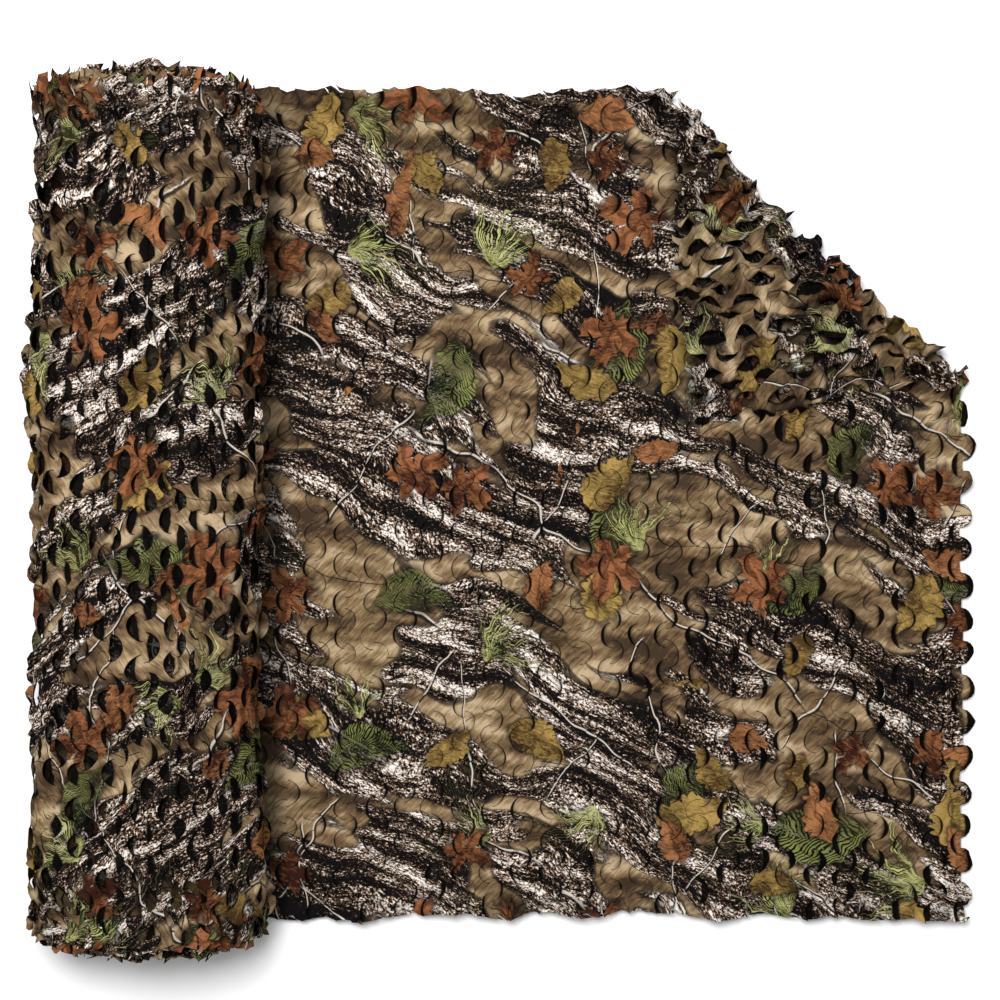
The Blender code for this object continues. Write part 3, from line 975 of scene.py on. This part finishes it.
def finished_leaf(wires, outside, outline, vein, luck, here, across):
    """Puts out a leaf's mask, the shade it throws on what is under it, its veins, and its own tone."""
    masks = {
        "Leaf": wires.fade(outside, 0.03, -0.02) * here,
        "Shade": wires.fade(outline, 0.26, 0.0) * here,
        "Vein": vein,
        "Tone": wires.fade(across, -0.25, 0.25) * 0.35 + luck[1] * 0.65,
    }
    wires.node("NodeGroupOutput", masks)
    return wires.tree


def lobed_leaf_group():
    """Scattered leaves with pointed lobes round a centre."""
    wires, along, across, luck, here = scattered("lobed_leaves")
    along = along + 0.25
    turn = wires.math("ARCTAN2", across, along)
    reach = wires.length(along, across)
    lobe = abs(wires.math("COSINE", turn * 2.5)) ** 0.90
    tooth = abs(wires.math("SINE", turn * 13.0)) * 0.15
    front = wires.math("COSINE", turn) * 0.22 + 0.80
    outside = reach - (lobe * 0.62 + 0.36 - tooth) * front
    vein = wires.fade((1.0 - lobe) * reach, 0.035, 0.008)
    return finished_leaf(wires, outside, outside, vein, luck, here, across)


def oval_leaf_group():
    """Scattered oval leaves with a midrib and slanting veins."""
    wires, along, across, luck, here = scattered("oval_leaves")
    bowed = along * along * 0.18 + across
    width = abs(bowed)
    scallop = abs(wires.math("SINE", along * 13.0)) * 0.16 + 0.50
    outside = width - (1.0 - along * along) * (along * -0.30 + 0.86) * scallop
    slant = wires.math("FRACT", along * 4.2 + width * -4.0)
    side_vein = wires.fade(abs(slant - 0.5), 0.07, 0.02)
    vein = wires.larger(wires.fade(width, 0.05, 0.018), side_vein * 0.55)
    return finished_leaf(wires, outside, outside, vein, luck, here, bowed)


def frond_group():
    """Scattered fronds: fine blades set along a curved stem."""
    wires, along, across, luck, here = scattered("fronds")
    bowed = along * along * 0.35 + across
    width = abs(bowed)
    outline = width - (1.0 - along * along) * (along * -0.18 + 0.46)
    side = wires.math("SIGN", bowed) * 0.31
    gap = abs(wires.math("FRACT", along * 12.0 + (width * -11.0 + side)) - 0.5)
    outside = wires.larger(outline, (gap - 0.22) * 0.4)
    vein = wires.fade(gap * width, 0.06, 0.01)
    return finished_leaf(wires, outside, outline, vein, luck, here, bowed)


def tuft_group():
    """Scattered tufts: narrow blades of unequal length that fan out from a foot."""
    wires, along, across, luck, here = scattered("tufts")
    along = along + 0.95
    reach = wires.length(along, across)
    turn = reach * 0.30 + wires.math("ARCTAN2", across, along)
    fan = turn * 14.0
    number = wires.math("MULTIPLY_ADD", luck[1], 57.0, wires.math("FLOOR", fan))
    own = wires.node("ShaderNodeTexWhiteNoise", {"W": number}, noise_dimensions="1D")["Value"]
    length = own * 1.05 + 0.75
    half = wires.math("SQRT", wires.larger(1.0 - reach / length, 0.0)) * 0.40
    off = abs(wires.math("FRACT", fan) - 0.5)
    outside = wires.larger(off - half, abs(turn) - 0.95)
    shaded = wires.larger(outside, (reach - length) * 2.0)
    masks = {
        "Leaf": wires.fade(outside, 0.08, -0.10) * here,
        "Shade": wires.fade(shaded, 0.35, 0.0) * here,
        "Vein": wires.fade(off, 0.14, 0.02) * 0.6,
        "Tone": own,
    }
    wires.node("NodeGroupOutput", masks)
    return wires.tree


BARK_SLANT = 0.42  # the turn of the bark's bands
FLECK_SLANT = -0.75  # the turn of its patches and flecks


def bark_group():
    """Mottled bark in slanting, wavering bands: its colour, and where it covers the ground."""
    colours = bpy.context.scene.net_colours
    wires, given = print_group("bark", (), ("Cover", "Grain"), Colour="Color")
    sway = wires.noise(given["Place"], 3.4) * 0.16
    waved = wires.vector("ADD", given["Place"], wires.node("ShaderNodeCombineXYZ", {"Y": sway})[0])
    bands = wires.streaks(waved, 2.1, 8.2, BARK_SLANT, 2.5, 0.55)
    patches = wires.streaks(waved, 5.0, 3.2, FLECK_SLANT, 2.0, shift=(4.0, 9.0))
    grain = wires.streaks(waved, 84.0, 300.0, BARK_SLANT, 3.0, 0.70, 0.7)
    fleck = wires.streaks(waved, 300.0, 210.0, FLECK_SLANT, 1.0, 0.6, 0.5)
    pale = wires.streaks(waved, 5.0, 34.0, BARK_SLANT, 2.0, 0.6, 0.4)
    crack = abs(wires.streaks(waved, 17.0, 120.0, BARK_SLANT, 1.0, 0.5, 0.6) - 0.5)
    level = grain * 0.64 + (fleck * 0.56 + -0.10) + wires.fade(crack, 0.045, 0.0) * -0.11
    stops = (
        (0.0, colours.black),
        (0.430, colours.black),
        (0.477, (0.011, 0.0085, 0.008)),
        (0.515, colours.brown),
        (0.555, (0.165, 0.098, 0.060)),
        (0.606, (0.37, 0.280, 0.210)),
        (0.676, colours.bone),
    )
    results = {
        "Colour": wires.ramp((pale - 0.5) * 0.72 + level, stops),
        "Cover": wires.fade(wires.larger(bands, patches - 0.05), 0.490, 0.525),
        "Grain": grain,
    }
    wires.node("NodeGroupOutput", results)
    return wires.tree


# The twigs: turn, distance apart, seed, thickness, and whether pale or only a dark stalk
TWIGS = (
    (0.62, 0.27, 3.1, 0.0013, True),
    (-0.95, 0.30, 8.4, 0.0011, True),
    (1.45, 0.33, 5.7, 0.0009, True),
    (0.15, 0.14, 6.2, 0.0004, False),
    (-0.50, 0.13, 2.8, 0.0004, False),
)


def twig_group():
    """Thin pale twigs that waver, cross and break off, and thinner dark stalks."""
    wires, given = print_group("twigs", (), ("Twig", "Shade"))
    place = given["Place"]
    twig = shade = 0.0
    for turn, spacing, seed, thick, pale in TWIGS:
        axes = wires.split(wires.stretched(place, 1.0, 1.0, turn, (seed, seed * 0.37)))
        wander = wires.noise(wires.stretched(place, 1.0, 1.0, turn, (seed, -seed)), 5.0, 2.0, 0.6)
        line = wander * 0.10 + axes[1]
        sides = (line, line + thick * 1.8)
        off, beside = (abs(wires.math("WRAP", side, spacing / 2, -spacing / 2)) for side in sides)
        breaks = wires.noise(wires.stretched(place, 1.0, 1.0, shift=(seed, seed)), 4.4, 0.0)
        there = wires.fade(breaks, 0.50, 0.54)
        shade = wires.larger(shade, wires.fade(beside, thick * 3.4, thick * 1.3) * there)
        if pale:
            twig = wires.larger(twig, wires.fade(off, thick * 1.5, thick * 0.6) * there)
    wires.node("NodeGroupOutput", {"Twig": twig, "Shade": shade})
    return wires.tree


def cut_shade_group():
    """The painted shade inside the opened cuts, and a dark line of painted shade along each cut edge, from
    the place on the web.
    """
    wires, given = print_group("cut_shade", ("Painted Shade Width",), ("Deep Painted Shade", "Soft Painted Shade", "Edge Painted Shade"))
    painted_shade_width = given["Painted Shade Width"]
    axes = wires.split(given["Place"])
    column = axes[0] / CUT_PITCH_X
    off = (column - wires.math("ROUND", column)) * CUT_PITCH_X
    share = wires.math("LESS_THAN", off, 0.0) * (LOWER_CUT - UPPER_CUT) + UPPER_CUT
    row = axes[1] / CUT_PITCH_Y - share
    up = (row - wires.math("ROUND", row)) * CUT_PITCH_Y
    within = wires.math("SQRT", (up / CUT_RADIUS) ** 2.0 + (abs(off) / (CUT_RADIUS - painted_shade_width)) ** 2.0)
    reach = wires.length(off, up)
    tongue = wires.fade(reach, CUT_RADIUS + 0.0008, CUT_RADIUS + 0.0002)
    strength = wires.math("MULTIPLY", painted_shade_width, 75.0, clamp=True)
    # Painted shade: a dark crescent inside each tongue's rim, a softer shade towards it, and a dark line
    # along the cut
    masks = {
        "Deep Painted Shade": wires.fade(within, 0.93, 1.06) * tongue * wires.fade(painted_shade_width, 0.0004, 0.0016),
        "Soft Painted Shade": wires.fade(within, 0.45, 1.0) * tongue * strength,
        "Edge Painted Shade": wires.fade(abs(reach - (CUT_RADIUS - SLIT / 2)), 0.0013, 0.0005),
    }
    wires.node("NodeGroupOutput", masks)
    return wires.tree


# The near black of all the painted shade: in the cuts, along them, in hollows and on hidden turns
DEEP_SHADE = (0.0022, 0.0018, 0.0016)
THREAD_PITCH = 0.0012
THREAD_HEIGHT = 0.00003
CRUMPLE_HEIGHT = 0.0034


def net_cloth():
    """The printed cloth: a woodland print of the part's own, a fine weave, and painted shade in its cuts,
    its hollows and its hidden turns.
    """
    found = bpy.data.materials.get("woodland_cloth")
    if found:
        return found
    colours = bpy.context.scene.net_colours
    material = bpy.data.materials.new("woodland_cloth")
    material.use_nodes = True
    wires = Wires(material.node_tree)
    place = wires.node("ShaderNodeUVMap", uv_map="web")["UV"]

    cloud = wires.noise(place, 17.0, 5.0, 0.70)
    drift = wires.streaks(place, 6.0, 19.0, 0.08, 2.0, 0.6)
    fine = wires.streaks(place, 185.0, 27.0, 0.75, 3.0, 0.66, 0.4)
    ground = ((0.33, colours.tan_dark), (0.45, (0.130, 0.080, 0.040)), (0.56, colours.tan))
    ground += ((0.70, (0.43, 0.320, 0.195)),)
    colour = wires.ramp((fine - 0.5) * 0.44 + ((cloud - 0.5) * 0.35 + drift), ground)

    bark = wires.node("ShaderNodeGroup", {"Place": place}, node_tree=bark_group())
    rim = bark["Cover"] * (1.0 - bark["Cover"])
    colour = wires.mix(bark["Cover"], colour, bark["Colour"])
    colour = wires.mix(wires.math("MULTIPLY", rim, 2.6, clamp=True), colour, colours.black)

    twigs = wires.node("ShaderNodeGroup", {"Place": place}, node_tree=twig_group())
    colour = wires.mix(twigs["Shade"] * 0.88, colour, colours.black)
    colour = wires.mix(twigs["Twig"], colour, colours.twig)

    inputs = {"Vector": place, "Scale": 34.0, "Detail": 1.0}
    shake = wires.node("ShaderNodeTexNoise", inputs, noise_dimensions="2D")["Color"]
    shaken = wires.vector("SUBTRACT", shake, (0.5, 0.5, 0.5))
    shaken = wires.vector("ADD", place, wires.vector("MULTIPLY", shaken, (0.022, 0.022, 0.0)))
    blotch = (bark["Grain"] - 0.5) * 2.4 + (cloud - 0.5) * 3.4
    frond, tuft, oval, lobed = frond_group(), tuft_group(), oval_leaf_group(), lobed_leaf_group()
    # The leaves from the lowest up: group, spacing, seed, length, share of places filled, dark and light
    for tree, spacing, seed, length, cover, dark, light in (
        (frond, 0.300, 11.3, 0.170, 0.50, (0.014, 0.018, 0.006), colours.green),
        (tuft, 0.250, 27.9, 0.130, 0.55, (0.016, 0.022, 0.006), (0.27, 0.27, 0.10)),
        (oval, 0.215, 4.6, 0.120, 0.50, (0.060, 0.032, 0.010), colours.gold),
        (lobed, 0.215, 19.2, 0.150, 0.62, (0.030, 0.009, 0.005), colours.rust),
        (oval, 0.260, 33.5, 0.095, 0.40, (0.030, 0.010, 0.006), (0.172, 0.072, 0.028)),
    ):
        inputs = {"Place": shaken, "Spacing": spacing, "Seed": seed, "Length": length, "Cover": cover}
        leaf = wires.node("ShaderNodeGroup", inputs, node_tree=tree)
        colour = wires.mix(leaf["Shade"] * 0.78, colour, colours.black)
        pale = tuple(LEAF_SHEEN * part for part in light[:3])
        blade = wires.ramp(blotch + leaf["Tone"], ((0.02, dark), (0.40, light), (0.66, light), (1.0, pale)))
        blade = wires.mix(leaf["Vein"] * 0.55, blade, dark)
        colour = wires.mix(leaf["Leaf"], colour, blade)

    painted_shade_width = wires.node("ShaderNodeAttribute", attribute_name="painted_shade_width")["Fac"]
    cut = wires.node("ShaderNodeGroup", {"Place": place, "Painted Shade Width": painted_shade_width}, node_tree=cut_shade_group())
    painted_shade = wires.node("ShaderNodeAttribute", attribute_name="painted_shade")["Fac"]
    # Painted shade, drawn towards near black: soft and deep shade in the cuts, a line along them, and shade
    # in hollows and hidden turns
    for shade in (cut["Soft Painted Shade"] * 0.62, cut["Edge Painted Shade"] * 0.80, cut["Deep Painted Shade"] * 0.97, painted_shade):
        colour = wires.mix(shade, colour, DEEP_SHADE)

    axes = wires.split(place)
    warp, weft = (wires.math("SINE", axes[way] * (math.tau / THREAD_PITCH)) for way in (0, 1))
    crumple = wires.noise(place, 46.0) * CRUMPLE_HEIGHT
    bump = {"Height": warp * weft * THREAD_HEIGHT + crumple, "Strength": 0.75, "Distance": 1.0}
    inputs = material.node_tree.nodes["Principled BSDF"].inputs
    inputs["Specular IOR Level"].default_value = 0.03
    wires.put(inputs["Base Color"], colour)
    rough = cloud * 0.22 + 0.56
    wires.put(inputs["Roughness"], wires.math("MULTIPLY_ADD", cut["Deep Painted Shade"], 0.3, rough, clamp=True))
    wires.put(inputs["Normal"], wires.node("ShaderNodeBump", bump)["Normal"])
    return material


# ---------------------------------------------------------------- the pieces


def carried(made):
    """Lets a piece ride on the net's one body."""
    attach(made, "root")


def outward_side(flat):
    """1 where the cloth's upper side shows, -1 where the turned corner shows its under side."""
    return np.where(past_fold(flat) * FLAP_STRETCH > FOLD_RADIUS * math.pi / 2, -1.0, 1.0)


def wound(flat, loose, over_share, most_lift, **lie):
    """A part of the web in the roll, its cuts opened outwards."""
    never = np.zeros(len(flat), bool)
    return opened(flat, wound_surface, loose, -1.0, over_share, most_lift, never, **lie)


class NET_OT_loose_end(bpy.types.Operator):
    """Make the loose end of the web, laid out with its corner turned over"""

    bl_idname = "net.loose_end"
    bl_label = "Loose end"

    def execute(self, context):
        flat, faces = flat_web(LOOSE_COLUMNS + 1, ROWS, JOIN_X, FRONT_Y)
        middle_of = flat[faces].mean(axis=1)
        cuts = Cuts(middle_of)
        faces = faces[(middle_of[:, 0] <= END_X) | (cuts.on_tongue & (cuts.line == 0))]
        past = past_fold(flat)
        turned = past > 0.0
        at_end = flat[:, 0] > END_X
        on_fold = smooth(past, -0.03, 0.0) * smooth(-past, -0.07, -0.04)
        loose = looseness(flat)
        near_edge = beside_edge(flat, 0.085, 0.020)
        # The share of its tongues that bend up, and how far
        over_share = 0.12 + 0.14 * loose + 0.50 * on_fold + 0.22 * turned + 0.30 * near_edge * ~turned
        most_lift = np.where(turned | at_end, 1.10, 0.32 + 0.30 * loose + 0.40 * near_edge)
        most_lift = np.where(turned & (on_fold > 0.3), 1.45, most_lift)
        on_corner = smooth(past, -0.02, 0.03)
        middle, painted_shade_width = opened(
            flat,
            laid_surface,
            loose,
            outward_side(flat),
            over_share,
            most_lift,
            ~turned & ~at_end,
            stretch=0.005 * on_corner,
            sink=1.0 + 0.35 * on_corner,
        )
        # Painted shade: the cloth is drawn darker under the turned corner, beside the roll and in the
        # smallest hollows, where shade falls
        nip = smooth(NIP_X - flat[:, 0], -0.155, -0.118)
        in_folds = hollow(flat) * (0.10 + 0.32 * np.maximum(crumpled_share(past), near_edge))
        painted_shade = np.maximum(np.maximum(0.70 * under_flap(flat), 0.62 * nip), in_folds)
        made = cloth_object("net_loose_end", middle, faces, flat, painted_shade_width, painted_shade)
        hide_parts("net_sheet")
        carried(made)
        return {"FINISHED"}


class NET_OT_outer_turn(bpy.types.Operator):
    """Make the outer turn of the roll"""

    bl_idname = "net.outer_turn"
    bl_label = "Outer turn"

    def execute(self, context):
        sizes = context.scene.net_sizes
        low_u = JOIN_X - OUTER_COLUMNS * CUT_PITCH_X
        flat, faces = flat_web(OUTER_COLUMNS, ROWS, low_u, FRONT_Y)
        distance = JOIN_X - flat[:, 0]
        loose = 0.35 + 0.65 * smooth(distance, 0.10, 0.34)
        loose *= 1.0 - 0.75 * smooth(distance, 0.88, 1.02)
        lie = {"stretch": 0.0048 * loose, "sink": 0.90, "ceiling": ROLL_HIGH.z + ABOVE_ROLL}
        middle, painted_shade_width = wound(flat, loose, 0.32 * loose, sizes.curl * loose, **lie)
        # Painted shade: darker in the small hollows and on the roll's right side, which goes down into the
        # nip
        in_folds = hollow(flat) * (0.14 + 0.30 * beside_edge(flat, 0.16, 0.02))
        painted_shade = np.maximum(0.58 * smooth(distance, 0.775, 0.865), in_folds)
        made = cloth_object("net_outer_turn", middle, faces[:, ::-1], flat, painted_shade_width, painted_shade)
        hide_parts("net_roll")
        carried(made)
        return {"FINISHED"}


class NET_OT_end_turns(bpy.types.Operator):
    """Make the turns that show at both ends of the roll"""

    bl_idname = "net.end_turns"
    bl_label = "End turns"

    def execute(self, context):
        sizes = context.scene.net_sizes
        high_u = JOIN_X - (OUTER_COLUMNS - 1) * CUT_PITCH_X
        low_u = high_u - INNER_COLUMNS * CUT_PITCH_X
        for name, low_v in (("front", FRONT_Y), ("back", BACK_Y - INNER_ROWS * CUT_PITCH_Y)):
            flat, faces = flat_web(INNER_COLUMNS, INNER_ROWS, low_u, low_v)
            loose = np.full(len(flat), 0.60)
            lie = {"stretch": 0.005, "sink": 1.2, "ceiling": ROLL_HIGH.z}
            middle, painted_shade_width = wound(flat, loose, 0.45 * loose, 0.9 * sizes.curl * loose, **lie)
            # Painted shade: the turns are drawn darker further into the roll's ends, away from the web's
            # long edge
            painted_shade = 0.85 * smooth(from_edge(flat)[0], 0.02, 0.09)
            made = cloth_object("net_end_turns_" + name, middle, faces[:, ::-1], flat, painted_shade_width, painted_shade)
            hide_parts("net_roll")
            carried(made)
        return {"FINISHED"}


class NET_OT_inner_turns(bpy.types.Operator):
    """Make the wound body inside the outer turn, seen through its cuts"""

    bl_idname = "net.inner_turns"
    bl_label = "Inner turns"

    def execute(self, context):
        sides = BODY_SIDES
        angle = np.arange(sides) * 2 * math.pi / sides
        stations = np.linspace(-BODY_HALF_LENGTH, BODY_HALF_LENGTH, BODY_STATIONS)
        rows = [(-BODY_HALF_LENGTH, BODY_SIZE * share) for share in BODY_ENDS]
        rows += [(y, BODY_SIZE) for y in stations]
        rows += [(BODY_HALF_LENGTH, BODY_SIZE * share) for share in BODY_ENDS[::-1]]
        rings = []
        for y, size in rows:
            ring = roll_place(angle, np.full(sides, y), np.full(sides, size), 0.004)
            ring[:, 0] = ROLL_X + (ring[:, 0] - ROLL_X) * BODY_WIDENED
            rings.append(ring)
        points = np.vstack(rings + [rings[0].mean(axis=0), rings[-1].mean(axis=0)])
        one = np.arange(len(rings) * sides).reshape(-1, sides)
        after = np.roll(one, -1, axis=1)
        walls = np.stack((one[:-1], one[1:], after[1:], after[:-1]), axis=2)
        faces = walls.reshape(-1, 4).tolist()
        near, far = len(points) - 2, len(points) - 1
        for side in range(sides):
            faces.append((one[0, side], after[0, side], near))
            faces.append((after[-1, side], one[-1, side], far))
        mesh = bpy.data.meshes.new("net_inner_turns")
        mesh.from_pydata(points.tolist(), [], faces)
        around = np.concatenate((np.tile(angle, len(rings)), (0.0, 0.0))) * BODY_RADIUS
        place = np.column_stack((BODY_PLACE - around, points[:, 1] - FRONT_Y))
        # Painted shade: the wound body is drawn nearly dark all over, for the shade it lies in under the
        # outer turn
        painted_shade_width, painted_shade = (np.full(len(points), value) for value in (0.010, 0.91))
        made = dressed("net_inner_turns", mesh, place, painted_shade_width, painted_shade)
        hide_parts("net_roll")
        carried(made)
        return {"FINISHED"}


FLOOR_HALF = 9.0  # half the floor's side
KEY_SIZE = 3.0
KEY_PLACE = (-1.0, 1.9, 5.7)
SENSOR_WIDTH = 36.0  # the camera's, in millimetres


class NET_OT_stage(bpy.types.Operator):
    """Make the floor, the light and the camera above the net"""

    bl_idname = "net.stage"
    bl_label = "Stage"

    def execute(self, context):
        scene = context.scene
        stage = scene.net_stage
        mesh = bpy.data.meshes.new("floor")
        corners = [(FLOOR_HALF * x, FLOOR_HALF * y, 0) for x, y in ((-1, -1), (1, -1), (1, 1), (-1, 1))]
        mesh.from_pydata(corners, [], [(0, 1, 2, 3)])
        floor = bpy.data.objects.new("floor", mesh)
        scene.collection.objects.link(floor)
        paper = bpy.data.materials.new("pale_floor")
        paper.use_nodes = True
        inputs = paper.node_tree.nodes["Principled BSDF"].inputs
        inputs["Base Color"].default_value = (0.86, 0.86, 0.86, 1.0)
        inputs["Roughness"].default_value = 0.9
        mesh.materials.append(paper)

        world = bpy.data.worlds.new("soft_studio")
        world.use_nodes = True
        inputs = world.node_tree.nodes["Background"].inputs
        inputs["Color"].default_value = (1.0, 1.0, 1.0, 1.0)
        inputs["Strength"].default_value = stage.sky
        scene.world = world
        light = bpy.data.lights.new("key", "AREA")
        light.energy = stage.key
        light.size = KEY_SIZE
        key = bpy.data.objects.new("key", light)
        key.location = KEY_PLACE
        key.rotation_mode = "QUATERNION"
        key.rotation_quaternion = (-key.location).to_track_quat("-Z", "Y")
        scene.collection.objects.link(key)

        lens = bpy.data.cameras.new("camera")
        lens.sensor_width = SENSOR_WIDTH
        lens.lens = lens.sensor_width * stage.camera_height / stage.frame_width
        lens.clip_end = 50.0
        camera = bpy.data.objects.new("camera", lens)
        camera.location = (stage.centre_x, stage.centre_y, stage.camera_height)
        scene.collection.objects.link(camera)
        scene.camera = camera
        scene.view_settings.view_transform = "Standard"
        return {"FINISHED"}


class NET_PT_panel(bpy.types.Panel):
    """Lists the pieces of the net and their settings"""

    bl_idname = "NET_PT_panel"
    bl_label = "Camouflage Net"
    bl_space_type = "VIEW_3D"
    bl_region_type = "UI"
    bl_category = "Net"

    def draw(self, context):
        for settings in (context.scene.net_sizes, context.scene.net_colours, context.scene.net_stage):
            column = self.layout.column(align=True)
            for name in settings.__annotations__:
                column.prop(settings, name)
        for operator in OPERATORS:
            self.layout.operator(operator.bl_idname)


OPERATORS = (NET_OT_loose_end, NET_OT_outer_turn, NET_OT_end_turns, NET_OT_inner_turns, NET_OT_stage)
CLASSES = (NetSizes, NetColours, StageSettings, *OPERATORS, NET_PT_panel)


def register():
    for made in CLASSES:
        bpy.utils.register_class(made)
    bpy.types.Scene.net_sizes = PointerProperty(type=NetSizes)
    bpy.types.Scene.net_colours = PointerProperty(type=NetColours)
    bpy.types.Scene.net_stage = PointerProperty(type=StageSettings)


def unregister():
    del bpy.types.Scene.net_stage
    del bpy.types.Scene.net_colours
    del bpy.types.Scene.net_sizes
    for made in reversed(CLASSES):
        bpy.utils.unregister_class(made)


def main():
    register()
    bpy.ops.net.stage()
    bpy.ops.net.loose_end()
    bpy.ops.net.outer_turn()
    bpy.ops.net.end_turns()
    bpy.ops.net.inner_turns()


if __name__ == "__main__":
    main()
